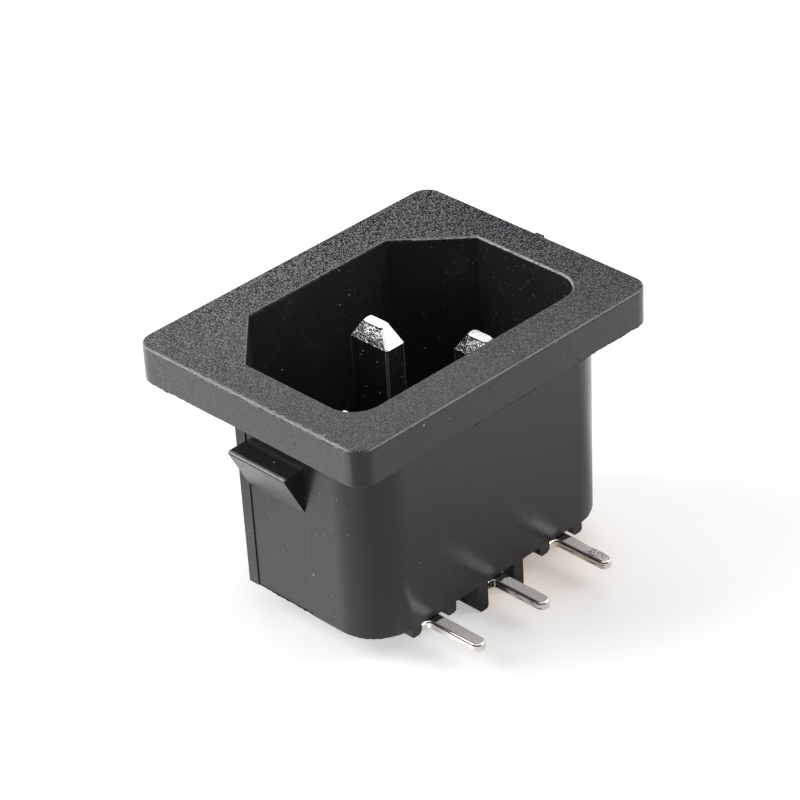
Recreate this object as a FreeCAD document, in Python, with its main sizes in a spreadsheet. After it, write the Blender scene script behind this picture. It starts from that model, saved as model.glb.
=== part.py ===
import FreeCAD, Part

import math
import os

import Sketcher

# A snap-in mains inlet: a moulded housing with three blades and three solder strips.
# +Z is the way a plug is pulled out. z = 0 is the seat, the underside of the flange,
# which lies on the panel. +Y is the side with the two cut corners, and the solder
# tails leave towards -Y.

# Driving dimensions in millimetres and degrees: alias, value, meaning.
SIZES = [
    ("flange_length", 31.0, "flange along X"),
    ("flange_width", 23.75, "flange along Y"),
    ("flange_thick", 3.1, "flange above the seat"),
    ("flange_corner", 1.5, "radius of the flange corners in plan"),
    ("flange_edge", 0.18, "rounded front edge of the flange"),
    ("flange_heel", 0.08, "rounded rear edge of the flange"),
    ("gate_width", 0.8, "stub of the moulding gate along Y, on the +X side of the flange"),
    ("gate_height", 0.85, "gate stub along Z"),
    ("gate_reach", 0.3, "gate stub beyond the side of the flange"),
    ("gate_drop", 0.15, "front face to the top of the gate stub"),
    ("gate_shift", 0.2, "middle of the gate stub off the middle, towards -Y"),
    ("opening_length", 24.5, "plug opening along X at the front"),
    ("opening_width", 16.4, "plug opening along Y at the front"),
    ("opening_cut", 5.0, "leg of the two cut corners of the opening"),
    ("opening_corner", 2.45, "radius of the two round corners of the opening"),
    ("opening_rim", 0.15, "rounded front rim of the opening"),
    ("cavity_depth", 16.8, "front face to cavity floor"),
    ("cavity_draft", 0.25, "draft of the cavity walls"),
    ("end_wall", 0.85, "shroud wall on the short sides"),
    ("side_wall", 1.75, "shroud wall on the long sides"),
    ("cut_wall", 1.2, "shroud wall behind the cut corners"),
    ("shroud_corner", 3.75, "radius of the two round outer corners"),
    ("shroud_depth", 16.3, "seat to rear face"),
    ("shroud_draft", 0.5, "draft of the outer walls"),
    ("latch_width", 6.0, "latch wedge along Y"),
    ("latch_grip", 3.15, "seat to the top of the latch"),
    ("latch_rise", 3.95, "latch top to the foot of its ramp"),
    ("latch_reach", 1.72, "latch lip beyond the end wall"),
    ("latch_lip", 0.28, "upright lip above the ramp"),
    ("latch_edge", 0.1, "rounding of the lip"),
    ("relief_depth", 0.09, "sunk strip left by the latch slide of the mould"),
    ("rib_thick", 1.0, "thickness of the rear ribs"),
    ("rib_edge", 0.3, "rounded lower edges of the rear ribs"),
    ("side_rib_rise", 0.9, "ribs beside the line and neutral strips"),
    ("mid_rib_rise", 2.45, "ribs beside the earth strip"),
    ("mid_rib_gap", 2.9, "space between the two tall ribs"),
    ("mid_rib_shift", 0.27, "tall pair off centre, towards +X"),
    ("strip_gap", 0.08, "clearance between a strip and its ribs"),
    ("seat_rise", 0.12, "raised seat under each strip"),
    ("seat_inset", 0.3, "seat kept inside the outline of its strip"),
    ("blade_width", 4.0, "blade along Y"),
    ("blade_thick", 2.0, "blade along X"),
    ("blade_edge", 0.26, "rounded long edges of a blade, up over its taper"),
    ("tip_edge", 0.08, "bevelled edges of the flat on a blade tip"),
    ("tip_rise", 1.5, "height of the four tapered faces"),
    ("tip_inset_x", 0.56, "taper on the wide faces"),
    ("tip_inset_y", 1.0, "taper on the narrow faces"),
    ("pole_pitch", 14.0, "line blade to neutral blade"),
    ("earth_offset", 4.0, "earth blade off the line of the other two"),
    ("field_shift", 0.05, "middle of the blade field off the opening, towards +Y"),
    ("line_tip_depth", 5.0, "front face to the tip of line, seated a little deep"),
    ("neutral_tip_depth", 4.5, "front face to the tip of neutral"),
    ("earth_tip_depth", 1.55, "front face to the tip of earth"),
    ("shank_width", 2.4, "shank through the floor along Y"),
    ("shank_thick", 1.3, "shank through the floor along X"),
    ("shank_gap", 0.03, "clearance round a shank"),
    ("head_width", 3.3, "upset rivet head along Y"),
    ("head_thick", 2.1, "upset rivet head along X"),
    ("head_rise", 0.55, "height of the rivet head"),
    ("head_edge", 0.3, "rounding of the rivet head"),
    ("strip_thick", 0.76, "thickness of the solder strips"),
    ("pole_strip_width", 2.6, "line and neutral strips between their ribs"),
    ("earth_strip_width", 2.25, "earth strip between the tall ribs"),
    ("strip_heel", 2.1, "strip beyond the middle of its shank"),
    ("tail_width", 1.16, "solder tail across"),
    ("tail_reach", 5.05, "solder tail beyond the rear edge of the wall"),
    ("tail_edge", 0.18, "rounded edges of a strip"),
    ("root_radius", 0.3, "inside corners where the tail leaves its strip"),
    ("shoulder_step", 0.6, "strip kept back from the wall on the +X side of its tail"),
]

TOUCH = 1e-4
"""How close, in millimetres, two numbers count as the same place."""

document = FreeCAD.newDocument("panel_inlet")
sheet = document.addObject("Spreadsheet::Sheet", "dims")
for line, (alias, number, meaning) in enumerate(SIZES, start=1):
    sheet.set(f"A{line}", meaning)
    sheet.set(f"B{line}", str(number))
    sheet.setAlias(f"B{line}", alias)
document.recompute()

# Sizes and places that several pieces share, worked out from the sheet.
SHROUD_HALF_X = "(dims.opening_length / 2 + dims.end_wall)"
SHROUD_HALF_Y = "(dims.opening_width / 2 + dims.side_wall)"
DRAFT_IN = "(dims.shroud_depth * tan(dims.shroud_draft))"
REAR_HALF_Y = f"({SHROUD_HALF_Y} - {DRAFT_IN})"
OPENING_CUT_LINE = "(dims.opening_length / 2 + dims.opening_width / 2 - dims.opening_cut)"
SHROUD_CUT = f"({SHROUD_HALF_X} + {SHROUD_HALF_Y} - {OPENING_CUT_LINE} - dims.cut_wall * sqrt(2))"
FLOOR_Z = "(dims.flange_thick - dims.cavity_depth)"
FLOOR_THICK = "(dims.shroud_depth + dims.flange_thick - dims.cavity_depth)"
RELIEF_X = f"({SHROUD_HALF_X} - dims.relief_depth)"
POLE_Y = "(dims.field_shift - dims.earth_offset / 2)"
EARTH_Y = "(dims.field_shift + dims.earth_offset / 2)"
POLE_X = "(dims.pole_pitch / 2)"
STRIP_TOP_Z = "(-dims.shroud_depth - dims.seat_rise)"
POLE_RIB_GAP = "(dims.pole_strip_width + 2 * dims.strip_gap)"


def number(expression):
    """The value of an expression in the sheet's aliases."""
    return float(sheet.evalExpression(str(expression)))


def new_body(name, x="0", y="0", z="0"):
    """A body with its label, placed by three expressions."""
    body = document.addObject("PartDesign::Body", name)
    body.Label = name
    for axis, expression in zip("xyz", (x, y, z)):
        body.setExpression(f"Placement.Base.{axis}", expression)
    return body


def origin_plane(body, role):
    return next(f for f in body.Origin.OriginFeatures if f.Role == role)


def new_sketch(body, name, role="XY_Plane", height="0"):
    """An empty sketch on one of the body's own planes, moved along its normal."""
    sketch = body.newObject("Sketcher::SketchObject", name)
    sketch.AttachmentSupport = (origin_plane(body, role), [""])
    sketch.MapMode = "FlatFace"
    sketch.setExpression("AttachmentOffset.Base.z", height)
    return sketch


def fix_point(sketch, curve, end, x, y):
    """Tie one point of a curve to the sketch origin with two driving lengths."""
    for kind, expression in (("DistanceX", x), ("DistanceY", y)):
        index = sketch.addConstraint(
            Sketcher.Constraint(kind, -1, 1, curve, end, number(expression))
        )
        name = f"curve{curve}_{kind}"
        sketch.renameConstraint(index, name)
        sketch.setExpression(f"Constraints.{name}", expression)


def polygon(sketch, corners):
    """A closed outline whose corners are pairs of expressions."""
    first = sketch.GeometryCount
    places = [FreeCAD.Vector(number(x), number(y), 0) for x, y in corners]
    count = len(places)
    for index, start in enumerate(places):
        sketch.addGeometry(Part.LineSegment(start, places[(index + 1) % count]), False)
    for index in range(count):
        following = first + (index + 1) % count
        sketch.addConstraint(Sketcher.Constraint("Coincident", first + index, 2, following, 1))
    for index, (x, y) in enumerate(corners):
        fix_point(sketch, first + index, 1, x, y)


def rectangle(sketch, low_x, high_x, low_y, high_y):
    polygon(sketch, [(low_x, low_y), (high_x, low_y), (high_x, high_y), (low_x, high_y)])


def centred_rectangle(sketch, length, width, x="0", y="0"):
    rectangle(
        sketch,
        f"{x} - ({length}) / 2",
        f"{x} + ({length}) / 2",
        f"{y} - ({width}) / 2",
        f"{y} + ({width}) / 2",
    )


def fix_radius(sketch, curve, radius):
    """Tie the radius of a circle or an arc to an expression."""
    index = sketch.addConstraint(Sketcher.Constraint("Radius", curve, number(radius)))
    sketch.renameConstraint(index, f"curve{curve}_radius")
    sketch.setExpression(f"Constraints.curve{curve}_radius", radius)


def disc(sketch, radius, x, y):
    """A full circle with its centre and radius tied to expressions."""
    centre = FreeCAD.Vector(number(x), number(y), 0)
    circle = Part.Circle(centre, FreeCAD.Vector(0, 0, 1), number(radius))
    curve = sketch.addGeometry(circle, False)
    fix_point(sketch, curve, 3, x, y)
    fix_radius(sketch, curve, radius)


def rounded_rectangle(sketch, length, width, radius):
    """A rectangle about the origin whose four corners are arcs."""
    upwards = FreeCAD.Vector(0, 0, 1)
    arcs = []
    for quarter, (side_x, side_y) in enumerate(((1, 1), (-1, 1), (-1, -1), (1, -1))):
        x = f"{side_x} * (({length}) / 2 - {radius})"
        y = f"{side_y} * (({width}) / 2 - {radius})"
        circle = Part.Circle(FreeCAD.Vector(number(x), number(y), 0), upwards, number(radius))
        start = quarter * math.pi / 2
        arc = sketch.addGeometry(Part.ArcOfCircle(circle, start, start + math.pi / 2), False)
        fix_point(sketch, arc, 3, x, y)
        fix_radius(sketch, arc, radius)
        arcs.append(arc)
    for index, arc in enumerate(arcs):
        following = arcs[(index + 1) % len(arcs)]
        begin = sketch.getPoint(arc, 2)
        finish = sketch.getPoint(following, 1)
        side = sketch.addGeometry(Part.LineSegment(begin, finish), False)
        sketch.addConstraint(Sketcher.Constraint("Tangent", arc, 2, side, 1))
        sketch.addConstraint(Sketcher.Constraint("Tangent", side, 2, following, 1))


def extrude(body, kind, name, sketch, length, backwards=False, midplane=False):
    """A Pad or a Pocket of one sketch."""
    feature = body.newObject(f"PartDesign::{kind}", name)
    feature.Profile = sketch
    feature.setExpression("Length", length)
    feature.Reversed = backwards
    feature.Midplane = midplane
    document.recompute()
    return feature


def pick(kind, feature, wanted):
    """Names of the faces or edges of a feature that a test accepts."""
    found = getattr(feature.Shape, f"{kind}s")
    names = [f"{kind}{index}" for index, item in enumerate(found, start=1) if wanted(item)]
    if not names:
        raise ValueError(f"{feature.Name} has no such {kind}")
    return names


def fillet(body, name, base, radius, wanted):
    """Round the edges of the last feature that a test accepts."""
    feature = body.newObject("PartDesign::Fillet", name)
    feature.Base = (base, pick("Edge", base, wanted))
    feature.setExpression("Radius", radius)
    document.recompute()
    return feature


def chamfer(body, name, base, size, wanted):
    """Bevel the edges of the last feature that a test accepts."""
    feature = body.newObject("PartDesign::Chamfer", name)
    feature.Base = (base, pick("Edge", base, wanted))
    feature.setExpression("Size", size)
    document.recompute()
    return feature


def draft(body, name, base, angle, wanted, height_plane, inwards_up):
    """Tilt the faces that a test accepts about the plane of a sketch."""
    feature = body.newObject("PartDesign::Draft", name)
    feature.Base = (base, pick("Face", base, wanted))
    feature.NeutralPlane = (height_plane, [""])
    feature.Reversed = inwards_up
    feature.setExpression("Angle", angle)
    document.recompute()
    return feature


def ends(edge):
    return edge.Vertexes[0].Point, edge.Vertexes[-1].Point


def is_upright(edge):
    """Whether an edge climbs along Z, also when it leans a little."""
    start, finish = ends(edge)
    run = finish - start
    return abs(run.z) > 5 * max(abs(run.x), abs(run.y), TOUCH)


def lies_at(edge, axis, place):
    """Whether every vertex of an edge has one coordinate at the given place."""
    return all(abs(getattr(v.Point, axis) - place) < TOUCH for v in edge.Vertexes)


def is_side_face(face):
    """Whether a flat face stands upright."""
    return abs(face.normalAt(0, 0).z) < TOUCH


def hexagon_corners(half_x, half_y, cut):
    """Corners of the inlet outline: cut at +Y, square at -Y."""
    return [
        (f"-{half_x}", f"-{half_y}"),
        (half_x, f"-{half_y}"),
        (half_x, f"{half_y} - {cut}"),
        (f"{half_x} - {cut}", half_y),
        (f"-{half_x} + {cut}", half_y),
        (f"-{half_x}", f"{half_y} - {cut}"),
    ]


def make_shroud(body):
    """The outer tube behind the flange, solid for now."""
    outline = new_sketch(body, "shroud_outline")
    polygon(outline, hexagon_corners(SHROUD_HALF_X, SHROUD_HALF_Y, SHROUD_CUT))
    shroud = extrude(body, "Pad", "shroud", outline, "dims.shroud_depth", backwards=True)
    seat = origin_plane(body, "XY_Plane")
    tapered = draft(
        body, "shroud_draft_faces", shroud, "dims.shroud_draft", is_side_face, seat, True
    )
    return fillet(
        body,
        "shroud_corners",
        tapered,
        "dims.shroud_corner",
        lambda edge: is_upright(edge) and edge.Vertexes[0].Y < 0,
    )


def make_flange(body):
    """The plate in front of the panel."""
    outline = new_sketch(body, "flange_outline")
    centred_rectangle(outline, "dims.flange_length", "dims.flange_width")
    plate = extrude(body, "Pad", "flange", outline, "dims.flange_thick")
    side = number("dims.flange_length / 2")
    corners = fillet(
        body,
        "flange_corners",
        plate,
        "dims.flange_corner",
        lambda edge: is_upright(edge) and abs(abs(edge.Vertexes[0].X) - side) < TOUCH,
    )
    front = number("dims.flange_thick")
    front_edges = fillet(
        body, "flange_front_edge", corners, "dims.flange_edge", lambda edge: lies_at(edge, "z", front)
    )
    beyond_shroud = number(f"{SHROUD_HALF_Y}") + TOUCH
    return fillet(
        body,
        "flange_rear_edge",
        front_edges,
        "dims.flange_heel",
        lambda edge: lies_at(edge, "z", 0)
        and all(
            abs(v.Y) > beyond_shroud or abs(v.X) > side - number("dims.flange_corner") - TOUCH
            for v in edge.Vertexes
        ),
    )


def make_gate(body):
    """The stub left where the moulding was cut from its runner."""
    outline = new_sketch(body, "gate_outline", "YZ_Plane", height="dims.flange_length / 2")
    top = "(dims.flange_thick - dims.gate_drop)"
    rectangle(
        outline,
        "-dims.gate_shift - dims.gate_width / 2",
        "-dims.gate_shift + dims.gate_width / 2",
        f"{top} - dims.gate_height",
        top,
    )
    return extrude(body, "Pad", "gate", outline, "dims.gate_reach")


def make_cavity(body):
    """The plug opening, with drafted walls, round lower corners and a soft rim."""
    outline = new_sketch(body, "opening_outline", height="dims.flange_thick")
    half_x = "(dims.opening_length / 2)"
    half_y = "(dims.opening_width / 2)"
    polygon(outline, hexagon_corners(half_x, half_y, "dims.opening_cut"))
    cavity = extrude(body, "Pocket", "cavity", outline, "dims.cavity_depth")
    inside = number("dims.opening_length / 2") + TOUCH
    floor = number(FLOOR_Z)

    def is_cavity_wall(face):
        box = face.BoundBox
        return is_side_face(face) and abs(box.ZMin - floor) < TOUCH and box.XMax < inside

    plane = body.newObject("PartDesign::Plane", "front_plane")
    plane.AttachmentSupport = (origin_plane(body, "XY_Plane"), [""])
    plane.MapMode = "FlatFace"
    plane.setExpression("AttachmentOffset.Base.z", "dims.flange_thick")
    document.recompute()
    tapered = draft(
        body, "cavity_draft_faces", cavity, "dims.cavity_draft", is_cavity_wall, plane, False
    )
    corners = fillet(
        body,
        "cavity_corners",
        tapered,
        "dims.opening_corner",
        lambda edge: is_upright(edge) and edge.Vertexes[0].Y < 0 and edge.BoundBox.XMax < inside
        and edge.BoundBox.XMin > -inside and abs(edge.BoundBox.ZMin - floor) < TOUCH,
    )
    front = number("dims.flange_thick")
    return fillet(
        body,
        "opening_rim_edge",
        corners,
        "dims.opening_rim",
        lambda edge: lies_at(edge, "z", front) and edge.BoundBox.XMax < inside
        and edge.BoundBox.XMin > -inside and abs(edge.BoundBox.YMax) < inside,
    )


def make_latches(body):
    """A sunk strip with a snap wedge on each short wall."""
    relief_outline = new_sketch(body, "relief_outline", "XZ_Plane")
    polygon(
        relief_outline,
        [
            (f"-{RELIEF_X}", "0"),
            (f"-{RELIEF_X} + {DRAFT_IN}", "-dims.shroud_depth"),
            (f"-{SHROUD_HALF_X} - dims.relief_depth", "-dims.shroud_depth"),
            (f"-{SHROUD_HALF_X} - dims.relief_depth", "0"),
        ],
    )
    relief = extrude(
        body, "Pocket", "latch_relief", relief_outline, "dims.latch_width", midplane=True
    )
    top = "-dims.latch_grip"
    lip_x = f"-{SHROUD_HALF_X} - dims.latch_reach"
    foot = "(dims.latch_grip + dims.latch_rise)"
    root_x = f"-{RELIEF_X} + dims.end_wall / 2"
    latch_outline = new_sketch(body, "latch_outline", "XZ_Plane")
    polygon(
        latch_outline,
        [
            (root_x, top),
            (lip_x, top),
            (lip_x, f"{top} - dims.latch_lip"),
            (f"-{RELIEF_X} + {foot} * tan(dims.shroud_draft)", f"-{foot}"),
            (root_x, f"-{foot}"),
        ],
    )
    latch = extrude(body, "Pad", "latch", latch_outline, "dims.latch_width", midplane=True)
    lip = number(lip_x)
    lip_edges = fillet(
        body, "latch_lip_edges", latch, "dims.latch_edge", lambda edge: lies_at(edge, "x", lip)
        and abs(ends(edge)[0].z - ends(edge)[1].z) < TOUCH
    )
    pair = body.newObject("PartDesign::Mirrored", "second_latch")
    pair.Originals = [relief, latch, lip_edges]
    pair.MirrorPlane = (origin_plane(body, "YZ_Plane"), [""])
    body.Tip = pair
    document.recompute()
    return pair


def make_rear(body):
    """Raised seats and ribs that hold the solder strips on the rear face."""
    rear = "-dims.shroud_depth"
    wall_y = f"-{REAR_HALF_Y}"
    strips = [
        (f"-{POLE_X}", POLE_Y, "dims.pole_strip_width"),
        ("0", EARTH_Y, "dims.earth_strip_width"),
        (POLE_X, POLE_Y, "dims.pole_strip_width"),
    ]
    seats = new_sketch(body, "seat_outlines", height=rear)
    for x, y, width in strips:
        half = f"({width} / 2 - dims.seat_inset)"
        rectangle(
            seats,
            f"{x} - {half}",
            f"{x} + {half}",
            f"{wall_y} + dims.shoulder_step + dims.seat_inset",
            f"{y} + dims.strip_heel - dims.seat_inset",
        )
    extrude(body, "Pad", "strip_seats", seats, "dims.seat_rise", backwards=True)
    groups = [
        ("side_ribs", "dims.side_rib_rise", POLE_Y, [
            (f"-{POLE_X}", POLE_RIB_GAP),
            (POLE_X, POLE_RIB_GAP),
        ]),
        ("mid_ribs", "dims.mid_rib_rise", EARTH_Y, [("dims.mid_rib_shift", "dims.mid_rib_gap")]),
    ]
    for name, rise, strip_y, pairs in groups:
        outlines = new_sketch(body, f"{name}_outline", height=rear)
        for x, gap in pairs:
            for side in (-1, 1):
                centre = f"({x} + {side} * ({gap} + dims.rib_thick) / 2)"
                rectangle(
                    outlines,
                    f"{centre} - dims.rib_thick / 2",
                    f"{centre} + dims.rib_thick / 2",
                    wall_y,
                    f"{strip_y} + dims.strip_heel",
                )
        ribs = extrude(body, "Pad", name, outlines, rise, backwards=True)
        low = number(f"{rear} - {rise}")
        last = fillet(
            body,
            f"{name}_edges",
            ribs,
            "dims.rib_edge",
            lambda edge: lies_at(edge, "z", low) and abs(ends(edge)[0].x - ends(edge)[1].x) < TOUCH,
        )
    return last


def make_shank_holes(body):
    """Slots in the floor that the blade shanks pass through."""
    outlines = new_sketch(body, "shank_hole_outlines", height=STRIP_TOP_Z)
    for x, y in ((f"-{POLE_X}", POLE_Y), ("0", EARTH_Y), (POLE_X, POLE_Y)):
        centred_rectangle(
            outlines,
            "dims.shank_thick + 2 * dims.shank_gap",
            "dims.shank_width + 2 * dims.shank_gap",
            x,
            y,
        )
    return extrude(
        body,
        "Pocket",
        "shank_holes",
        outlines,
        f"{FLOOR_THICK} + 2 * dims.seat_rise",
        backwards=True,
    )


def make_housing():
    body = new_body("housing")
    make_shroud(body)
    make_flange(body)
    make_gate(body)
    make_cavity(body)
    make_latches(body)
    make_rear(body)
    make_shank_holes(body)
    return body


def make_pin(name, x, y, tip_depth):
    """A solid blade with a tapered tip and a shank riveted behind its strip."""
    body = new_body(name, x, y, FLOOR_Z)
    shoulder = f"(dims.cavity_depth - {tip_depth} - dims.tip_rise)"
    section = new_sketch(body, f"{name}_section")
    rounded_rectangle(section, "dims.blade_thick", "dims.blade_width", "dims.blade_edge")
    extrude(body, "Pad", f"{name}_blade", section, shoulder)
    lower = new_sketch(body, f"{name}_taper_start", height=shoulder)
    rounded_rectangle(lower, "dims.blade_thick", "dims.blade_width", "dims.blade_edge")
    upper = new_sketch(body, f"{name}_taper_end", height=f"{shoulder} + dims.tip_rise")
    rounded_rectangle(
        upper,
        "dims.blade_thick - 2 * dims.tip_inset_x",
        "dims.blade_width - 2 * dims.tip_inset_y",
        "dims.blade_edge",
    )
    tip = body.newObject("PartDesign::AdditiveLoft", f"{name}_tip")
    tip.Profile = lower
    tip.Sections = [upper]
    tip.Ruled = True
    document.recompute()
    tip_z = number(f"{shoulder} + dims.tip_rise")
    chamfer(body, f"{name}_tip_edges", tip, "dims.tip_edge", lambda edge: lies_at(edge, "z", tip_z))
    shank_length = f"({FLOOR_THICK} + dims.seat_rise + dims.strip_thick)"
    neck = new_sketch(body, f"{name}_shank_section")
    centred_rectangle(neck, "dims.shank_thick", "dims.shank_width")
    extrude(body, "Pad", f"{name}_shank", neck, shank_length, backwards=True)
    button = new_sketch(body, f"{name}_head_outline", height=f"-{shank_length}")
    centred_rectangle(button, "dims.head_thick", "dims.head_width")
    head = extrude(body, "Pad", f"{name}_head", button, "dims.head_rise", backwards=True)
    low = number(f"-{shank_length} - dims.head_rise")
    fillet(body, f"{name}_head_edge", head, "dims.head_edge", lambda edge: lies_at(edge, "z", low))
    return body


def make_strip(name, x, y, width):
    """A stamped strip under the rear face that ends in a solder tail."""
    body = new_body(name, x, y, STRIP_TOP_Z)
    front = f"-({REAR_HALF_Y} + {y})"
    step = f"{front} + dims.shoulder_step"
    plate_outline = new_sketch(body, f"{name}_plate_outline")
    polygon(
        plate_outline,
        [
            (f"-{width} / 2", front),
            ("-dims.tail_width / 2", front),
            ("-dims.tail_width / 2", step),
            (f"{width} / 2", step),
            (f"{width} / 2", "dims.strip_heel"),
            (f"-{width} / 2", "dims.strip_heel"),
        ],
    )
    extrude(body, "Pad", f"{name}_plate", plate_outline, "dims.strip_thick", backwards=True)
    round_y = f"{front} - dims.tail_reach + dims.tail_width / 2"
    tail_outline = new_sketch(body, f"{name}_tail_outline")
    rectangle(tail_outline, "-dims.tail_width / 2", "dims.tail_width / 2", round_y, "0")
    tail = extrude(body, "Pad", f"{name}_tail", tail_outline, "dims.strip_thick", backwards=True)
    root_corners = [
        (number("-dims.tail_width / 2"), number(front)),
        (number("dims.tail_width / 2"), number(step)),
    ]
    fillet(
        body,
        f"{name}_roots",
        tail,
        "dims.root_radius",
        lambda edge: is_upright(edge)
        and any(lies_at(edge, "x", x) and lies_at(edge, "y", y) for x, y in root_corners),
    )
    end_outline = new_sketch(body, f"{name}_end_outline")
    disc(end_outline, "dims.tail_width / 2", "0", round_y)
    rounded = extrude(body, "Pad", f"{name}_end", end_outline, "dims.strip_thick", backwards=True)
    heel_y = number("dims.strip_heel")
    softened = fillet(
        body,
        f"{name}_edges",
        rounded,
        "dims.tail_edge",
        lambda edge: not is_upright(edge) and not lies_at(edge, "y", heel_y),
    )
    hole = new_sketch(body, f"{name}_hole_outline")
    centred_rectangle(
        hole,
        "dims.shank_thick + 2 * dims.shank_gap",
        "dims.shank_width + 2 * dims.shank_gap",
    )
    extrude(body, "Pocket", f"{name}_hole", hole, "dims.strip_thick")
    return softened


make_housing()
CONTACTS = [
    ("line", f"-{POLE_X}", POLE_Y, "dims.line_tip_depth", "dims.pole_strip_width"),
    ("neutral", POLE_X, POLE_Y, "dims.neutral_tip_depth", "dims.pole_strip_width"),
    ("earth", "0", EARTH_Y, "dims.earth_tip_depth", "dims.earth_strip_width"),
]
for pole, contact_x, contact_y, tip_depth, strip_width in CONTACTS:
    make_pin(f"{pole}_pin", contact_x, contact_y, tip_depth)
    make_strip(f"{pole}_solder_strip", contact_x, contact_y, strip_width)
document.recompute()

for item in document.Objects:
    if "Invalid" in item.State or "Error" in item.State:
        raise RuntimeError(f"{item.Name} failed: {item.State}")

os.makedirs("parts", exist_ok=True)
for body in document.findObjects("PartDesign::Body"):
    if body.Shape.isNull() or not body.Shape.isValid() or len(body.Shape.Solids) != 1:
        raise RuntimeError(f"{body.Label} isn't one valid solid")
    body.Shape.exportStep(os.path.join("parts", f"{body.Label}.step"))
    print(body.Label, round(body.Shape.Volume, 2), "cubic millimetres")
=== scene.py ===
import math
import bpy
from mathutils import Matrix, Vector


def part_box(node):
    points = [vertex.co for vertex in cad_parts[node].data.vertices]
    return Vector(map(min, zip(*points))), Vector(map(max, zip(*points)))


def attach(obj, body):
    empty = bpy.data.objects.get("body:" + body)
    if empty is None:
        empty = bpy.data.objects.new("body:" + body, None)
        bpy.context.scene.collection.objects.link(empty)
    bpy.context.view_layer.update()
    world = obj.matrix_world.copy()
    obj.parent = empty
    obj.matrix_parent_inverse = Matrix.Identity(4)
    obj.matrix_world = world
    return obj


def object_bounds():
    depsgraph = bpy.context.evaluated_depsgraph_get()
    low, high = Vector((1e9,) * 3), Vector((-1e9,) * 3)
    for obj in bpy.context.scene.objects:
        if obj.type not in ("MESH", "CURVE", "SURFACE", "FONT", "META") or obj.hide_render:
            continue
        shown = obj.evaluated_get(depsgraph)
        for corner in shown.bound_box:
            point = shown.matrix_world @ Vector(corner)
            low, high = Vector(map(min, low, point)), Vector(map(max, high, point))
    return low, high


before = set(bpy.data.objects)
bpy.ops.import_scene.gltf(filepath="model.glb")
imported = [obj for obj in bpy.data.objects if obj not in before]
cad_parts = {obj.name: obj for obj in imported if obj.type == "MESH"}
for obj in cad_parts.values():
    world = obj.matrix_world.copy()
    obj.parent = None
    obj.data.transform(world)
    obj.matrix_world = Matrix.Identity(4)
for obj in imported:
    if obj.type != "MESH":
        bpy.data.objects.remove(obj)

from types import SimpleNamespace

import bpy
from mathutils import Matrix, Vector, noise

CAD_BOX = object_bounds()
MM = 0.001

# Camera, in millimetres and degrees in the frame of the part.
CAMERA_EYE = (-153.66, -162.41, 137.62)
CAMERA_AZIMUTH = 43.425
CAMERA_DOWN = 32.474
CAMERA_ROLL = -3.285
CAMERA_LENS = 157.3
CAMERA_SENSOR = 36.0

# Sizes of the part in millimetres, as in its source.
FRONT_Z = CAD_BOX[1][2] / MM
REAR_Z = -16.3
REAR_WALL_Y = -9.81
FLANGE_HALF = (15.5, 11.875)
FLANGE_CORNER = 1.5
OPENING_HALF = (12.25, 8.2)
OPENING_CUT = 5.0
OPENING_CORNER = 2.45
REAR_HALF = (12.958, 9.808)
REAR_CUT = 5.8
REAR_CORNER = 3.75
WEDGE_TOP_Z = -3.15
WEDGE_FOOT_Z = -7.1
LATCH_HALF = 3.0
TIP_RISE = 1.5
PIN_HALF = (1.0, 2.0)

# Where a wedge's top and its lip begin, measured from the middle.
WEDGE_TOP_X = 13.15
WEDGE_LIP_X = 14.55

# The largest sum of distances along X and Y inside a rounded and a cut corner of the opening.
ROUND_CORNER_SUM = 19.5
CUT_CORNER_SUM = 16.0

# Colours of the housing: its plastic by region, partly painted light, then painted highlights
# and glints, then dirt.
WALL_BLACK = (0.0095, 0.0092, 0.0135, 1)
# The cavity's plastic is painted lighter than the walls: painted light that lifts the dim
# inside.
CAVITY_PAINTED_LIGHT = (0.0145, 0.0145, 0.0165, 1)
# The flange's left-facing sides are painted lighter: painted light from the key lamp on the
# left.
LEFT_SIDE_PAINTED_LIGHT = (0.058, 0.058, 0.061, 1)
# The near front face is painted lighter where its painted glints are weak: painted light.
NEAR_FACE_PAINTED_LIGHT = (0.034, 0.034, 0.037, 1)
# Points of the sparked faces painted light grey: painted glints of the lamps in the grain.
PAINTED_GLINT_GREY = (0.25, 0.25, 0.26, 1)
# The front edges and the wedge's lip are painted light grey, lighter on the left-facing ones:
# painted highlights of the key lamp.
EDGE_HIGHLIGHT_GREY = (0.28, 0.28, 0.285, 1)
LEFT_EDGE_HIGHLIGHT_GREY = (0.5, 0.5, 0.51, 1)
# A line at the -Y edge of the recessed strip under the wedge is painted light: a painted
# highlight.
SEAM_HIGHLIGHT_GREY = (0.06, 0.06, 0.061, 1)
# A broken band beside the -X front edge is painted light: a painted highlight that widens the
# edge's line.
LEFT_BAND_HIGHLIGHT_GREY = (0.28, 0.28, 0.29, 1)
CRUMB_GREY = (0.2, 0.2, 0.2, 1)
POCK_BLACK = (0.002, 0.002, 0.002, 1)
DUST_GREY = (0.6, 0.59, 0.57, 1)

# How strongly the grain of the flange and its painted glints show, at the near left and at the
# far right.
CONTRAST_NEAR = 0.42
CONTRAST_FAR = 0.96

# Colours of the nickel plate, dark before light where there are two.
NICKEL = ((0.8, 0.78, 0.75, 1), (0.92, 0.9, 0.88, 1))
# Pitted nickel of the wide faces, painted near black: real struck pits under a painted dark
# reflection.
STRUCK_NICKEL_PAINTED_DARK = ((0.04, 0.04, 0.04, 1), (0.62, 0.61, 0.6, 1))
# Streaked nickel of the wide faces, painted up to white: real drawn streaks under a painted
# bright reflection.
STROKED_NICKEL_PAINTED_SHINE = ((0.1, 0.1, 0.1, 1), (1.0, 0.99, 0.97, 1))
GROOVE_BLACK = (0.03, 0.028, 0.028, 1)
MARK_GREY = (0.2, 0.19, 0.18, 1)
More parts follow.
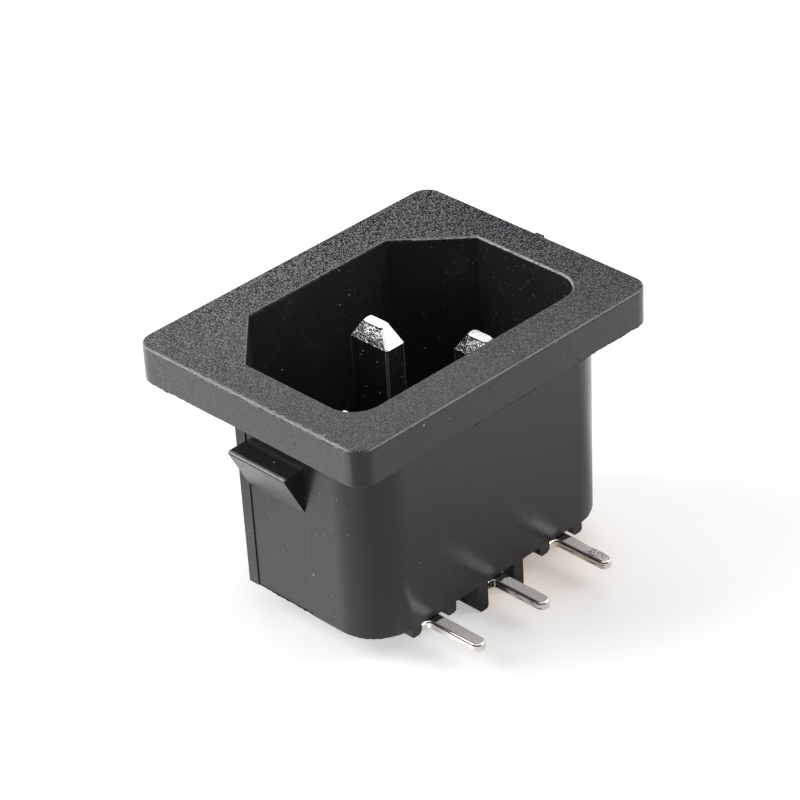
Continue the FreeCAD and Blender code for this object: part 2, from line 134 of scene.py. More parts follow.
# The shank's rounded corners are painted near black: painted shade that takes out their
# highlight.
PIN_CORNER_PAINTED_SHADE = (0.05, 0.05, 0.05, 1)

# Colours of the tin plate.
TIN = ((0.84, 0.8, 0.75, 1), (0.92, 0.88, 0.83, 1))
# A dark line painted along each tail's top -X edge: painted shade of the rounded edge.
TOP_EDGE_SHADE_BROWN = (0.05, 0.047, 0.043, 1)
# The flats' first fraction of a millimetre by the wall is painted near black: painted shade
# where the wall shades the tail.
ROOT_SHADE_BLACK = (0.03, 0.029, 0.028, 1)
STUB_BLACK = (0.03, 0.029, 0.026, 1)
# Darker grey for blotches on the neutral strip's flats towards its tip.
TIP_BLOTCH_GREY = (0.13, 0.127, 0.123, 1)

# Each strip: dark and light streaks on its sheared sides, and how metallic its flats are. The
# side tones are painted reflections: lightest on the line strip, for the bright floor it mirrors
# at the left, and darker and browner on the others, for the shaded floor under the body.
STRIP_LOOKS_PAINTED_LIGHT = {
    "line_solder_strip": ((0.6, 0.58, 0.55, 1), (1.0, 0.98, 0.95, 1), 0.5),
    "earth_solder_strip": ((0.3, 0.26, 0.22, 1), (0.95, 0.9, 0.84, 1), 0.3),
    "neutral_solder_strip": ((0.36, 0.31, 0.27, 1), (0.9, 0.84, 0.78, 1), 0.42),
}

# Moulding flash, in millimetres. The far rim's fin is thickened outwards, the others inwards.
# The far rim's fin is real flash painted nearly white, which also makes it a painted highlight
# along the rim.
FLASH_INSET = 0.04
FLASH_THICK = 0.07
RIM_FLASH_THICK = -0.03
FLASH_ROOT = 0.06
REAR_FLASH_ROOT = 0.05
RIM_FLASH_DEPTH = 0.16
FLASH_STEP = 0.1
RIM_FLASH_STEP = 0.07
DARK_FLASH = (0.008, 0.008, 0.009)
PALE_FLASH_HIGHLIGHT = (0.95, 0.95, 0.95)

# Mixes a cell's three random numbers into one that is free of its point's place.
CELL_MIX = (17.0, 29.0, 41.0)

# The surface that the part stands on, in metres.
FLOOR_Z = CAD_BOX[0][2]
FLOOR_SIZE = 4.0

# How bright the floor glows by itself where it is seen, and how much gloss takes off it.
FLOOR_LIFT = 0.385
GLOSS_DIM = -0.3

# The glow that the walls mirror: where on the floor it starts, and its direction.
GLOW_START = (-11.0, -8.0, 0.0)
GLOW_DIRECTION = (-0.5, 0.866)


def make_camera():
    """The camera of the photograph: a long lens from the front left and above."""
    azimuth = math.radians(CAMERA_AZIMUTH)
    down = math.radians(CAMERA_DOWN)
    roll = math.radians(CAMERA_ROLL)
    forward = Vector((
        math.sin(azimuth) * math.cos(down),
        math.cos(azimuth) * math.cos(down),
        -math.sin(down),
    ))
    level = forward.cross(Vector((0, 0, 1))).normalized()
    upright = level.cross(forward)
    right = level * math.cos(roll) + upright * math.sin(roll)
    top = upright * math.cos(roll) - level * math.sin(roll)
    data = bpy.data.cameras.new("camera")
    data.lens = CAMERA_LENS
    data.sensor_width = CAMERA_SENSOR
    data.clip_start = 0.005
    camera = bpy.data.objects.new("camera", data)
    turn = Matrix((right, top, -forward)).transposed().to_4x4()
    camera.matrix_world = Matrix.Translation(Vector(CAMERA_EYE) * MM) @ turn
    bpy.context.scene.collection.objects.link(camera)
    bpy.context.scene.camera = camera


class Nodes:
    """A material's node tree, with short calls for the nodes used here.

    place, x, y and z are in millimetres in the object's own frame, which is the part's frame for
    its nodes. face_x, face_y and face_z are the three shares of the surface direction.
    """

    def __init__(self, name):
        self.material = bpy.data.materials.new(name)
        self.material.use_nodes = True
        self.tree = self.material.node_tree
        self.shader = self.tree.nodes["Principled BSDF"]
        place = self.add("ShaderNodeTexCoord").outputs["Object"]
        self.place = self.vector("MULTIPLY", place, (1 / MM, 1 / MM, 1 / MM))
        self.x, self.y, self.z = self.split(self.place)
        facing = self.add("ShaderNodeNewGeometry").outputs["Normal"]
        self.face_x, self.face_y, self.face_z = self.split(facing)

    def add(self, kind, **settings):
        """A new node with the given settings."""
        node = self.tree.nodes.new(kind)
        for key, value in settings.items():
            setattr(node, key, value)
        return node

    def join(self, source, target):
        """Link a socket, or set a plain value."""
        if isinstance(source, bpy.types.NodeSocket):
            self.tree.links.new(source, target)
        else:
            target.default_value = source

    def give(self, name, source):
        """Link or set an input of the shader."""
        self.join(source, self.shader.inputs[name])

    def math(self, operation, first, second=0.0):
        """One step of arithmetic."""
        node = self.add("ShaderNodeMath", operation=operation)
        self.join(first, node.inputs[0])
        self.join(second, node.inputs[1])
        return node.outputs[0]

    def vector(self, operation, first, second):
        """One step of vector arithmetic. A distance or dot product comes back as a number."""
        node = self.add("ShaderNodeVectorMath", operation=operation)
        self.join(first, node.inputs[0])
        self.join(second, node.inputs[1])
        kind = "Value" if operation in ("DISTANCE", "DOT_PRODUCT") else "Vector"
        return node.outputs[kind]

    def split(self, vector):
        """The three parts of a vector."""
        node = self.add("ShaderNodeSeparateXYZ")
        self.join(vector, node.inputs[0])
        return node.outputs

    def product(self, *factors):
        """All the factors multiplied."""
        result = factors[0]
        for factor in factors[1:]:
            result = self.math("MULTIPLY", result, factor)
        return result

    def total(self, *terms):
        """All the terms added."""
        result = terms[0]
        for term in terms[1:]:
            result = self.math("ADD", result, term)
        return result

    def ramp(self, value, low, high, start=0.0, end=1.0, kind="SMOOTHSTEP"):
        """A step of value from low to high, mapped to start and end."""
        node = self.add("ShaderNodeMapRange", interpolation_type=kind)
        for socket, source in zip(node.inputs, (value, low, high, start, end)):
            self.join(source, socket)
        return node.outputs[0]

    def band(self, value, low, high, soft):
        """1 between low and high, with soft ends."""
        rise = self.ramp(value, low - soft, low)
        return self.product(rise, self.ramp(value, high + soft, high))

    def noise(self, scale, detail=2.0, stretch=None, rough=0.5, shift=0.0):
        """Noise with scale in cycles per millimetre."""
        place = self.place
        if shift:
            place = self.vector("ADD", place, (shift, shift, shift))
        if stretch:
            place = self.vector("MULTIPLY", place, stretch)
        node = self.add("ShaderNodeTexNoise")
        self.join(place, node.inputs["Vector"])
        node.inputs["Scale"].default_value = scale
        node.inputs["Detail"].default_value = detail
        node.inputs["Roughness"].default_value = rough
        return node.outputs[0]

    def cells(self, scale, seed):
        """Distance to the nearest random point, and a random value per cell."""
        node = self.add("ShaderNodeTexVoronoi")
        self.join(self.vector("ADD", self.place, (seed, seed, seed)), node.inputs["Vector"])
        node.inputs["Scale"].default_value = scale
        mixed = self.vector("DOT_PRODUCT", node.outputs["Color"], CELL_MIX)
        return node.outputs["Distance"], self.math("FRACT", mixed)

    def specks(self, scale, size, share, seed):
        """Small round dots in a share of the cells of a random pattern."""
        distance, chance = self.cells(scale, seed)
        dot = self.ramp(distance, size, size * 0.6)
        wanted = self.math("LESS_THAN", chance, share)
        return self.math("MULTIPLY", dot, wanted)

    def distance_from(self, centre):
        """Distance from a point, in millimetres."""
        return self.vector("DISTANCE", self.place, centre)

    def mix(self, amount, first, second):
        """Blend two colours."""
        node = self.add("ShaderNodeMix", data_type="RGBA")
        self.join(amount, node.inputs[0])
        self.join(first, node.inputs[6])
        self.join(second, node.inputs[7])
        return node.outputs[2]

    def coat(self, base, *coats):
        """Lay colours over a base one after another, each where its mask is 1."""
        for mask, colour in coats:
            base = self.mix(mask, base, colour)
        return base

    def bump(self, height, distance, strength=1.0, normal=None):
        """A bump whose distance is in millimetres."""
        node = self.add("ShaderNodeBump")
        node.inputs["Distance"].default_value = distance * MM
        self.join(strength, node.inputs["Strength"])
        self.join(height, node.inputs["Height"])
        if normal is not None:
            self.join(normal, node.inputs["Normal"])
        return node.outputs[0]


def housing_regions(n):
    """Masks that are 1 on a region of the housing and 0 elsewhere."""
    across = n.math("ABSOLUTE", n.x)
    along = n.math("ABSOLUTE", n.y)
    corner_sum = n.ramp(n.y, -1.0, 0.0, ROUND_CORNER_SUM, CUT_CORNER_SUM)
    past_corner = n.math("SUBTRACT", n.math("ADD", across, along), corner_sum)
    return SimpleNamespace(
        front=n.ramp(n.z, FRONT_Z - 0.4, FRONT_Z - 0.15),
        sides=n.math(
            "MAXIMUM",
            n.ramp(across, FLANGE_HALF[0] - 0.14, FLANGE_HALF[0] - 0.06),
            n.ramp(along, FLANGE_HALF[1] - 0.14, FLANGE_HALF[1] - 0.06),
        ),
        leftward=n.ramp(n.face_x, -0.45, -0.85),
        inside=n.product(
            n.ramp(across, OPENING_HALF[0] + 0.2, OPENING_HALF[0] + 0.1),
            n.ramp(along, OPENING_HALF[1] + 0.2, OPENING_HALF[1] + 0.1),
            n.ramp(n.z, FRONT_Z - 0.2, FRONT_Z - 0.4),
            n.ramp(past_corner, 0.15, 0.0),
        ),
        wedge_top=n.product(
            n.ramp(across, WEDGE_TOP_X, WEDGE_TOP_X + 0.1),
            n.band(n.z, WEDGE_TOP_Z - 0.03, WEDGE_TOP_Z + 0.03, 0.02),
        ),
        lip=n.product(
            n.ramp(across, WEDGE_LIP_X, WEDGE_LIP_X + 0.1),
            n.ramp(n.z, WEDGE_TOP_Z - 0.16, WEDGE_TOP_Z - 0.1),
            n.ramp(n.z, WEDGE_TOP_Z + 0.06, WEDGE_TOP_Z + 0.02),
        ),
        # A painted highlight line along the -Y edge of the recessed strip below the wedge.
        seam=n.product(
            n.band(n.y, -LATCH_HALF - 0.03, -LATCH_HALF + 0.03, 0.04),
            n.ramp(n.x, 0.0, -1.0),
            n.ramp(n.z, WEDGE_FOOT_Z, WEDGE_FOOT_Z - 0.5),
            n.ramp(n.z, REAR_Z, REAR_Z + 4.0),
        ),
    )


def housing_highlights(n, region):
    """Masks of the painted highlight along the front edges and of the broken painted highlight
    band beside the -X edge.
    """
    near_corner = n.distance_from((-FLANGE_HALF[0], -FLANGE_HALF[1], FRONT_Z))
    off_corner = n.ramp(near_corner, 0.7, 1.6)
    near_upper = n.product(n.ramp(n.face_y, -0.2, -0.4), n.ramp(n.face_z, 0.72, 0.85))
    edge = n.product(
        n.ramp(n.face_z, 0.12, 0.3),
        n.ramp(n.face_z, 0.98, 0.9),
        region.front,
        off_corner,
        n.ramp(near_upper, 0.0, 1.0, 1.0, 0.2),
    )
    # A band beside the -X front edge, painted as a broken highlight.
    left_highlight_band = n.product(
        region.front,
        n.ramp(n.x, 0.26 - FLANGE_HALF[0], 0.18 - FLANGE_HALF[0]),
        off_corner,
        n.ramp(n.noise(2.4, 4.0, rough=0.7, shift=1.0), 0.42, 0.62),
    )
    return edge, left_highlight_band


def housing_dirt(n, region, sparked):
    """Masks of the dust, of the crumbs in the cavity and of the pocks in the flange's sides."""
    gathered = n.product(
        n.ramp(n.noise(0.35, 2.0, shift=11.0), 0.3, 0.5, 0.6, 1.0),
        n.ramp(n.face_x, -0.85, -0.98, 0.12, 1.0),
    )
    coarse_dust = n.specks(scale=0.7, size=0.06, share=0.35, seed=3.0)
    fine_dust = n.specks(scale=5.0, size=0.2, share=0.07, seed=21.0)
    off_sparked = n.ramp(sparked, 0.0, 0.5, 0.95, 0.0)
    dust = n.math("MAXIMUM", coarse_dust, n.product(fine_dust, gathered, off_sparked))
    crumbs = n.product(
        n.specks(scale=3.2, size=0.18, share=0.45, seed=31.0),
        region.inside,
        n.ramp(n.noise(0.5, 2.0), 0.38, 0.54),
    )
    pocks = n.product(n.specks(scale=1.1, size=0.1, share=0.12, seed=17.0), region.sides)
    return dust, crumbs, pocks


def housing_material():
    """Black moulded plastic: sparked flange, smoother walls, a little dust, with painted light:
    highlights on the front edges and the lip, glints in the grain, and a lighter cavity, left
    side and near face.
    """
    n = Nodes("housing_black")
    region = housing_regions(n)
    edge, left_highlight_band = housing_highlights(n, region)
    sparked = n.product(
        n.math("MAXIMUM", region.front, n.product(region.sides, 0.4)),
        n.ramp(edge, 0.0, 1.0, 1.0, 0.3),
    )
    dust, crumbs, pocks = housing_dirt(n, region, sparked)
    rightness = n.math("ADD", n.x, n.y)
    contrast = n.ramp(rightness, -24.0, 14.0, CONTRAST_NEAR, CONTRAST_FAR)
    # Painted glints of the lamps in the sparked grain: stronger towards the -X +Y corner, where
    # the key lamp is, and on the left-facing sides.
    painted_glint_falloff = n.ramp(n.math("SUBTRACT", n.x, n.y), -24.0, 24.0, 0.95, 0.5)
    painted_glint = n.product(
        n.ramp(n.noise(8.8, 1.0, rough=0.5, shift=5.0), 0.47, 0.6),
        contrast,
        n.math(
            "MAXIMUM",
            n.product(region.front, painted_glint_falloff),
            n.product(region.sides, n.ramp(region.leftward, 0.0, 1.0, 0.1, 0.4)),
        ),
    )
    broken = n.ramp(n.noise(2.5, 3.0, rough=0.7), 0.3, 0.6, 0.45, 1.0)
    # The front edges and the wedge's lip get a painted highlight, broken by noise.
    painted_edge_highlight = n.product(n.math("MAXIMUM", edge, region.lip), broken)
    # Painted light on the near front face, more where the painted glints are weaker.
    near_face_painted_light = n.product(region.front, n.ramp(contrast, CONTRAST_NEAR, CONTRAST_FAR, 1.0, 0.0))
    colour = n.coat(
        # Painted light inside the cavity.
        n.mix(region.inside, WALL_BLACK, CAVITY_PAINTED_LIGHT),
        # Painted light on the flange's left-facing sides.
        (n.product(region.sides, region.leftward), LEFT_SIDE_PAINTED_LIGHT),
        (near_face_painted_light, NEAR_FACE_PAINTED_LIGHT),
        (painted_glint, PAINTED_GLINT_GREY),
        (painted_edge_highlight, n.mix(region.leftward, EDGE_HIGHLIGHT_GREY, LEFT_EDGE_HIGHLIGHT_GREY)),
        (region.seam, SEAM_HIGHLIGHT_GREY),
        (left_highlight_band, LEFT_BAND_HIGHLIGHT_GREY),
        (crumbs, CRUMB_GREY),
        (pocks, POCK_BLACK),
        (dust, DUST_GREY),
    )
    n.give("Base Color", colour)
    rough = n.total(
        n.product(sparked, 0.16),
        n.ramp(n.noise(0.25, 2.0), 0.3, 0.7, 0.25, 0.31),
        n.product(region.inside, 0.2),
        n.product(region.wedge_top, 0.3),
    )
    n.give("Roughness", rough)
    n.give("IOR", 1.5)
    front_dull = n.ramp(painted_glint, 0.0, 1.0, n.ramp(rightness, -10.0, 20.0, 0.35, 0.5), 0.0)
    dull = n.total(
        n.product(region.front, front_dull),
        n.product(region.inside, n.ramp(n.face_x, 0.5, 0.9, 0.2, 0.5)),
        n.product(pocks, 0.4),
    )
    n.give("Specular IOR Level", n.math("SUBTRACT", 0.5, dull))
    grain = n.bump(n.noise(8.0, 2.0, rough=0.65), 0.088, n.product(sparked, contrast))
    n.give("Normal", n.bump(n.noise(14.0, 2.0), 0.01, 0.15, grain))
    return n.material


def blade_material(pin):
    """Bright nickel plate: struck on the wide tapered faces, drawn and marked on the shank, with
    a painted reflection on the wide faces and painted shade on the shank's corners.
    """
    n = Nodes(f"{pin}_nickel")
    low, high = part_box(pin)
    middle = (low + high) / 2 / MM
    below = n.math("SUBTRACT", high.z / MM, n.z)
    aside = n.math("SUBTRACT", n.y, middle.y)
    from_side = n.math("ABSOLUTE", n.math("SUBTRACT", n.x, middle.x))
    sideways = n.math("ABSOLUTE", n.face_x)
    taper = n.ramp(below, TIP_RISE + 0.02, TIP_RISE - 0.04)
    wide = n.product(n.ramp(sideways, 0.7, 0.85), taper)
    groove = n.product(n.ramp(sideways, 0.3, 0.5), n.band(below, 0.09, 0.17, 0.04))
    # Painted shade on the shank's corners, which are also made less metallic, to take out their
    # highlight.
    corner = n.product(
        n.ramp(n.math("ABSOLUTE", aside), PIN_HALF[1] - 0.25, PIN_HALF[1] - 0.06),
        n.ramp(from_side, PIN_HALF[0] - 0.25, PIN_HALF[0] - 0.06),
        n.ramp(below, TIP_RISE, TIP_RISE + 0.3),
    )
    pits = n.ramp(n.noise(4.0, 4.0, rough=0.7), 0.4, 0.64)
    strokes = n.ramp(n.noise(1.1, 3.0, stretch=(1.0, 1.4, 6.0), rough=0.6, shift=2.0), 0.4, 0.47)
    # The wide faces are painted dark towards +Y and away from the tip, and bright with streaks
    # near the tip at -Y: a painted reflection.
    painted_dark_part = n.math("MAXIMUM", n.ramp(aside, 0.1, 1.0), n.ramp(below, 0.6, 1.2))
    wide_face_painted_reflection = n.mix(painted_dark_part, n.mix(strokes, *STROKED_NICKEL_PAINTED_SHINE), n.mix(pits, *STRUCK_NICKEL_PAINTED_DARK))
    mottle = n.noise(4.0, 3.0, rough=0.7)
    marks = n.product(
        n.specks(scale=2.6, size=0.16, share=0.4, seed=4.0), n.ramp(n.face_y, -0.3, -0.6), taper
    )
    colour = n.coat(
        n.mix(n.ramp(mottle, 0.35, 0.65), *NICKEL),
        (wide, wide_face_painted_reflection),
        (groove, GROOVE_BLACK),
        (marks, MARK_GREY),
        (corner, PIN_CORNER_PAINTED_SHADE),
    )
    n.give("Base Color", colour)
    flecks = n.product(
        n.math("MAXIMUM", n.specks(scale=3.0, size=0.2, share=0.12, seed=8.0), corner),
        n.ramp(taper, 0.0, 1.0, 1.0, 0.0),
    )
    n.give("Metallic", n.ramp(flecks, 0.0, 1.0, 1.0, 0.25))
    n.give("Roughness", n.ramp(mottle, 0.3, 0.7, 0.12, 0.22))
    scratches = n.noise(3.0, 4.0, stretch=(9.0, 9.0, 0.8), rough=0.7)
    blows = n.bump(n.noise(5.0, 3.0, rough=0.6), 0.25, n.ramp(wide, 0.0, 1.0, 0.02, 1.0))
    n.give("Normal", n.bump(scratches, 0.02, 0.35, blows))
    return n.material


def strip_material(strip):
    """Tin plate: dull on the stamped faces, streaked and glossy on the sheared edges, with
    painted shade at the tails' roots and along their top -X edge, and side tones painted lighter
    or darker per strip.
    """
    n = Nodes(f"{strip}_tin")
    dark, light, metallic = STRIP_LOOKS_PAINTED_LIGHT[strip]
    low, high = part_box(strip)
    top = high.z / MM
    tip_y = low.y / MM
    flat = n.ramp(n.math("ABSOLUTE", n.face_z), 0.9, 0.99)
    mottle = n.noise(5.0, 4.0, rough=0.7)
    uneven_y = n.total(n.y, n.product(n.noise(1.2, 3.0, shift=high.x / MM), 0.9))
    streaks = n.noise(1.0, 4.0, stretch=(1.0, 1.0, 7.0), rough=0.65, shift=4.0)
    side = n.product(n.ramp(n.face_x, -0.6, -0.85), n.ramp(n.y, REAR_WALL_Y, REAR_WALL_Y - 0.2))
    # Painted shade along the top -X edge of the tail.
    top_edge_shade = n.product(n.ramp(n.face_x, -0.15, -0.3), n.band(n.z, top - 0.17, top - 0.1, 0.04))
    # Painted shade on the flats next to the wall.
    root = n.product(n.ramp(uneven_y, REAR_WALL_Y - 0.25, REAR_WALL_Y - 0.1), flat)
    colour = n.coat(
        n.mix(n.ramp(mottle, 0.35, 0.65), *TIN),
        # The sheared -X sides carry streaks in each strip's painted reflection tone.
        (side, n.mix(n.ramp(streaks, 0.4, 0.54), dark, light)),
        (top_edge_shade, TOP_EDGE_SHADE_BROWN),
        (root, ROOT_SHADE_BLACK),
    )
    if strip.startswith("earth"):
        stub = n.product(n.ramp(n.x, -0.6, -0.66), n.ramp(mottle, 0.7, 0.5))
        colour = n.mix(stub, colour, STUB_BLACK)
    # The neutral strip's flats are darker in blotches towards its tip.
    if strip.startswith("neutral"):
        near_tip = n.ramp(uneven_y, tip_y + 3.0, tip_y + 2.0)
        tip_blotches = n.product(near_tip, n.ramp(mottle, 0.75, 0.4), flat)
        colour = n.mix(tip_blotches, colour, TIP_BLOTCH_GREY)
    n.give("Base Color", colour)
    n.give("Metallic", n.ramp(flat, 0.0, 1.0, 1.0, metallic))
    n.give("Roughness", n.total(n.ramp(mottle, 0.3, 0.7, 0.14, 0.2), n.product(flat, 0.08)))
    n.give("Normal", n.bump(n.noise(18.0, 3.0, rough=0.6), 0.01, 0.15))
    return n.material


def flash_material(name, base, rough):
    """Thin torn plastic left where the mould halves meet."""
    n = Nodes(name)
    torn = n.ramp(n.noise(4.0, 3.0, rough=0.7), 0.38, 0.52)
    dim = tuple(channel * 0.25 for channel in base)
    n.give("Base Color", n.mix(torn, (*dim, 1), (*base, 1)))
    n.give("Roughness", n.ramp(torn, 0.0, 1.0, rough, rough + 0.1))
    n.give("Specular IOR Level", 0.25)
    n.give("Normal", n.bump(n.noise(9.0, 2.0), 0.03, 0.6))
    return n.material


def rounded_outline(corners, radii, step):
    """Points along a closed anticlockwise outline, each with its outward direction."""
    count = len(corners)
    path = []
    for index, corner in enumerate(corners):
        corner = Vector(corner)
        back = (corner - Vector(corners[index - 1])).normalized()
        ahead = (Vector(corners[(index + 1) % count]) - corner).normalized()
        turn = -back.angle_signed(ahead)
        radius = radii[index]
        cut = radius * math.tan(turn / 2)
        centre = corner - back * cut + Vector((-back.y, back.x)) * radius
        begin = math.atan2(-back.x, back.y)
        steps = max(1, round(radius * turn / step))
        for part in range(steps + 1):
            angle = begin + turn * part / steps
            out = Vector((math.cos(angle), math.sin(angle)))
            if radius == 0:
                out = Vector((back.y + ahead.y, -back.x - ahead.x)).normalized()
            path.append((centre + out * radius, out))
    filled = []
    for index, (place, out) in enumerate(path):
        following, out_next = path[(index + 1) % len(path)]
        pieces = max(1, round((following - place).length / step))
        for part in range(pieces):
            share = part / pieces
            filled.append((place.lerp(following, share), out.lerp(out_next, share).normalized()))
    return filled


def make_flash(name, outline, root_z, height, thick, material, wanted=None):
    """A thin ragged fin along an outline. Height gives its reach in millimetres at a place."""
    points = []
    faces = []
    before = None
    for place, out in outline + outline[:1]:
        if wanted and not wanted(place):
            before = None
            continue
        reach = height(place)
        start = len(points)
        inner = place - out * thick
        points += [
            (place.x, place.y, root_z),
            (place.x, place.y, root_z + reach),
            (inner.x, inner.y, root_z + reach * 0.8),
            (inner.x, inner.y, root_z),
        ]
        if before is not None:
            for side in range(4):
                other = (side + 1) % 4
                faces.append((before + side, before + other, start + other, start + side))
        before = start
    mesh = bpy.data.meshes.new(name)
    mesh.from_pydata([Vector(point) * MM for point in points], [], faces)
    mesh.validate()
    mesh.materials.append(material)
    fin = bpy.data.objects.new(name, mesh)
    bpy.context.scene.collection.objects.link(fin)
    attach(fin, "root")


def ragged(place, seed, low, high):
    """A reach that wanders between low and high along an outline."""
    slow = noise.noise(Vector((place.x * 0.35, place.y * 0.35, seed)))
    quick = noise.noise(Vector((place.x * 2.7, place.y * 2.7, seed + 9.0)))
    share = min(max(0.5 + 1.1 * slow + 0.6 * quick, 0.0), 1.0)
    return low + (high - low) * share


def rectangle(half_x, half_y):
    """Corners of a rectangle round the middle, anticlockwise from -X and -Y."""
    return [(-half_x, -half_y), (half_x, -half_y), (half_x, half_y), (-half_x, half_y)]


def hexagon(half_x, half_y, cut):
    """The inlet outline: square at -Y, two cut corners at +Y."""
    return [
        (-half_x, -half_y),
        (half_x, -half_y),
        (half_x, half_y - cut),
        (half_x - cut, half_y),
        (-half_x + cut, half_y),
        (-half_x, half_y - cut),
    ]


def flange_reach(place):
    """The fin under the flange: coarser on the right of the near side and at the far left."""
    coarse = (place.y < -10 and place.x > -4) or (place.x < -13 and place.y > 8)
    return -ragged(place, 1.0, 0.0, 0.17 if coarse else 0.08)


def rear_reach(place):
    """The fin round the rear edge."""
    return -ragged(place, 4.0, 0.0, 0.18)


def rim_reach(place):
    """The fin inside the opening's far rim."""
    return ragged(place, 7.0, 0.02, 0.15)


def on_far_rim(place):
    """Whether a place of the opening's outline lies on its far short side."""
    return place.x > 8.6 and place.y > -7.6


def add_flash():
    """Moulding flash: under the flange, round the rear edge and on the opening's far rim."""
    dark = flash_material("dark_flash", DARK_FLASH, 0.45)
    # The far rim's fin is real flash painted nearly white: a painted highlight along the rim.
    pale = flash_material("pale_flash_highlight", PALE_FLASH_HIGHLIGHT, 0.3)
    flange = rounded_outline(
        rectangle(FLANGE_HALF[0] - FLASH_INSET, FLANGE_HALF[1] - FLASH_INSET),
        [FLANGE_CORNER - FLASH_INSET] * 4,
        FLASH_STEP,
    )
    make_flash(
        "flange_flash",
        flange,
        root_z=FLASH_ROOT,
        height=flange_reach,
        thick=FLASH_THICK,
        material=dark,
    )
    rear = rounded_outline(
        hexagon(REAR_HALF[0] - FLASH_INSET, REAR_HALF[1] - FLASH_INSET, REAR_CUT),
        [REAR_CORNER - FLASH_INSET] * 2 + [0] * 4,
        FLASH_STEP,
    )
    make_flash(
        "rear_flash",
        rear,
        root_z=REAR_Z + REAR_FLASH_ROOT,
        height=rear_reach,
        thick=FLASH_THICK,
        material=dark,
    )
    mouth = rounded_outline(
        hexagon(OPENING_HALF[0] - FLASH_INSET, OPENING_HALF[1] - FLASH_INSET, OPENING_CUT),
        [OPENING_CORNER] * 2 + [0] * 4,
        RIM_FLASH_STEP,
    )
    make_flash(
        "rim_flash",
        mouth,
        root_z=FRONT_Z - RIM_FLASH_DEPTH,
        height=rim_reach,
        thick=RIM_FLASH_THICK,
        material=pale,
        wanted=on_far_rim,
    )


def dress(name, material):
    """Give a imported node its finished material."""
    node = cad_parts[name]
    node.data.materials.clear()
    node.data.materials.append(material)


def seen_plainly(tree):
    """1 for the rays that show a background: camera, glossy and transmission rays."""
    rays = tree.nodes.new("ShaderNodeLightPath")
    total = rays.outputs["Is Camera Ray"]
    for name in ("Is Glossy Ray", "Is Transmission Ray"):
        either = tree.nodes.new("ShaderNodeMath")
        either.operation = "MAXIMUM"
        tree.links.new(total, either.inputs[0])
        tree.links.new(rays.outputs[name], either.inputs[1])
        total = either.outputs[0]
    return total


def mirrored_floor(n):
    """What gloss shows of the floor beyond its plain white: bright to the left, dim in front."""
    right = n.math("SUBTRACT", n.x, GLOW_START[0])
    deep = n.math("SUBTRACT", n.y, GLOW_START[1])
    glow_x, glow_y = GLOW_DIRECTION
    towards = n.math("ADD", n.product(right, glow_x), n.product(deep, glow_y))
    aside = n.math("SUBTRACT", n.product(right, glow_y), n.product(deep, glow_x))
    angle = n.math("ABSOLUTE", n.math("ARCTAN2", aside, towards))
    glow = n.product(
        n.ramp(angle, 0.25, 1.8, 0.69, 0.0, kind="LINEAR"),
        n.ramp(angle, 0.25, 0.8, 1.0, 0.62, kind="LINEAR"),
        n.ramp(n.distance_from(GLOW_START), 20.0, 32.0, 1.0, 0.82),
    )
    far_left = n.product(n.ramp(n.x, -12.0, -16.0), n.ramp(n.y, 6.0, 24.0, 0.0, -0.25))
    far_right = n.ramp(n.math("ADD", n.x, n.y), 6.0, 22.0, 0.0, 0.6)
    near_right = n.product(n.ramp(n.x, -8.0, 14.0), n.ramp(n.y, -12.0, -26.0, 0.0, 0.32))
    in_front = n.ramp(n.y, -9.0, -24.0, 0.06, -0.08)
    at_earth_tail = n.ramp(n.distance_from((1.0, -10.5, 0.0)), 1.5, 4.0, -0.2, 0.0)
    at_line_tail = n.ramp(n.distance_from((-9.7, -11.5, 0.0)), 0.8, 2.6, 0.6, 0.0)
    return n.total(
        glow, far_left, far_right, near_right, in_front, at_earth_tail, at_line_tail, GLOSS_DIM
    )


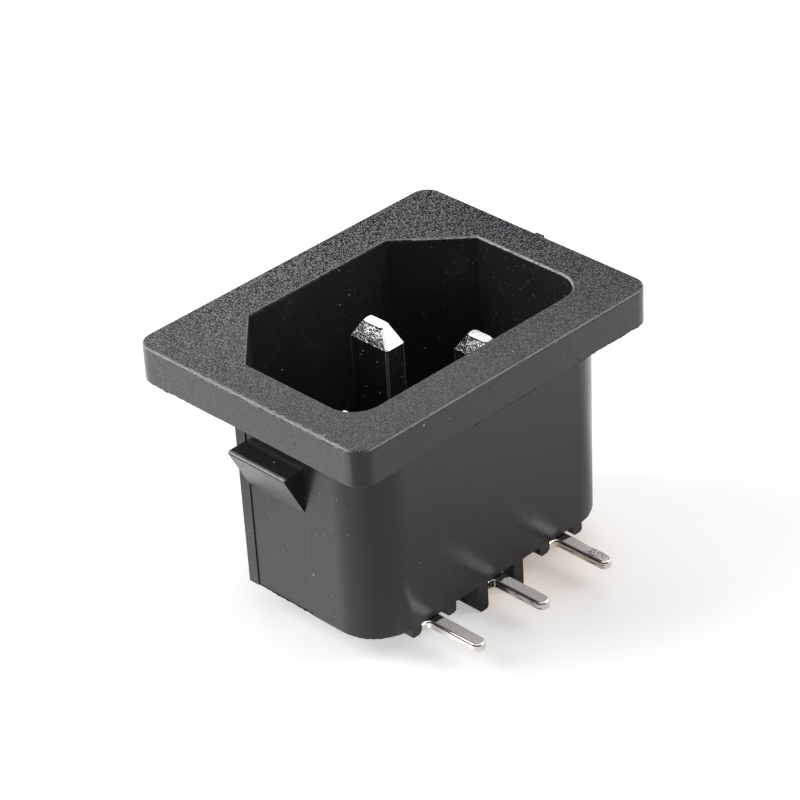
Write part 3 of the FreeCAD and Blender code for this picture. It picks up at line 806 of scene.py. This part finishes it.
def make_floor():
    """A wide pale floor that keeps the part's shadow and reads as white to the camera, with
    painted warmer light near the tails, painted light at the front left and painted shade at the
    far right front.
    """
    bpy.ops.mesh.primitive_plane_add(size=FLOOR_SIZE, location=(0, 0, FLOOR_Z))
    floor = bpy.context.object
    floor.name = "floor"
    n = Nodes("pale_floor")
    # Painted warmer bounce light near the tails, in the floor's colour and in its glow.
    painted_warm_bounce = n.ramp(n.distance_from((5.0, -7.0, 0.0)), 3.0, 10.0, 1.0, 0.0)
    n.give("Base Color", n.mix(painted_warm_bounce, (0.86, 0.85, 0.84, 1), (0.86, 0.77, 0.7, 1)))
    n.give("Roughness", 0.6)
    n.give("Specular IOR Level", 0.2)
    # Painted light that lightens the part's shadow on the floor at the front left; below it,
    # painted shade at the far right front.
    left_painted_light = n.ramp(n.distance_from((-13.0, -6.0, 0.0)), 5.0, 12.0, 0.1, 0.0)
    right_shade = n.ramp(n.distance_from((16.0, -19.0, 0.0)), 6.0, 18.0, -0.04, 0.0)
    lift = n.product(seen_plainly(n.tree), n.total(FLOOR_LIFT, left_painted_light, right_shade))
    glossy_ray = n.add("ShaderNodeLightPath").outputs["Is Glossy Ray"]
    glossy = n.product(glossy_ray, mirrored_floor(n))
    n.give("Emission Color", n.mix(painted_warm_bounce, (1, 1, 1, 1), (1, 0.9, 0.82, 1)))
    n.give("Emission Strength", n.math("MAXIMUM", n.total(lift, glossy), 0.0))
    floor.data.materials.append(n.material)


def make_world():
    """Soft studio surroundings, white where they are seen or mirrored."""
    world = bpy.data.worlds.new("studio")
    bpy.context.scene.world = world
    world.use_nodes = True
    tree = world.node_tree
    tree.nodes.clear()
    soft = tree.nodes.new("ShaderNodeBackground")
    soft.inputs["Color"].default_value = (1, 1, 1, 1)
    soft.inputs["Strength"].default_value = 0.32
    white = tree.nodes.new("ShaderNodeBackground")
    white.inputs["Color"].default_value = (1, 1, 1, 1)
    white.inputs["Strength"].default_value = 1.0
    blend = tree.nodes.new("ShaderNodeMixShader")
    output = tree.nodes.new("ShaderNodeOutputWorld")
    tree.links.new(seen_plainly(tree), blend.inputs[0])
    tree.links.new(soft.outputs[0], blend.inputs[1])
    tree.links.new(white.outputs[0], blend.inputs[2])
    tree.links.new(blend.outputs[0], output.inputs[0])


def make_lamp(name, azimuth, height, distance, size, power):
    """A square softbox aimed at the part. Azimuth is measured from +X towards +Y."""
    data = bpy.data.lights.new(name, "AREA")
    data.shape = "SQUARE"
    data.size = size
    data.energy = power
    lamp = bpy.data.objects.new(name, data)
    turn = math.radians(azimuth)
    rise = math.radians(height)
    place = Vector((
        math.cos(turn) * math.cos(rise),
        math.sin(turn) * math.cos(rise),
        math.sin(rise),
    )) * distance
    lamp.location = place
    lamp.rotation_euler = place.to_track_quat("Z", "Y").to_euler()
    bpy.context.scene.collection.objects.link(lamp)


make_camera()
make_world()
make_floor()
make_lamp("key_softbox", azimuth=134, height=35, distance=0.6, size=0.35, power=2.3)
make_lamp("fill_softbox", azimuth=-44, height=34, distance=0.7, size=0.4, power=2.0)
make_lamp("back_softbox", azimuth=46, height=48, distance=0.7, size=0.6, power=1.4)

dress("housing", housing_material())
for pole in ("line", "neutral", "earth"):
    dress(f"{pole}_pin", blade_material(f"{pole}_pin"))
    dress(f"{pole}_solder_strip", strip_material(f"{pole}_solder_strip"))

add_flash()

bpy.context.scene.view_settings.view_transform = "Standard"
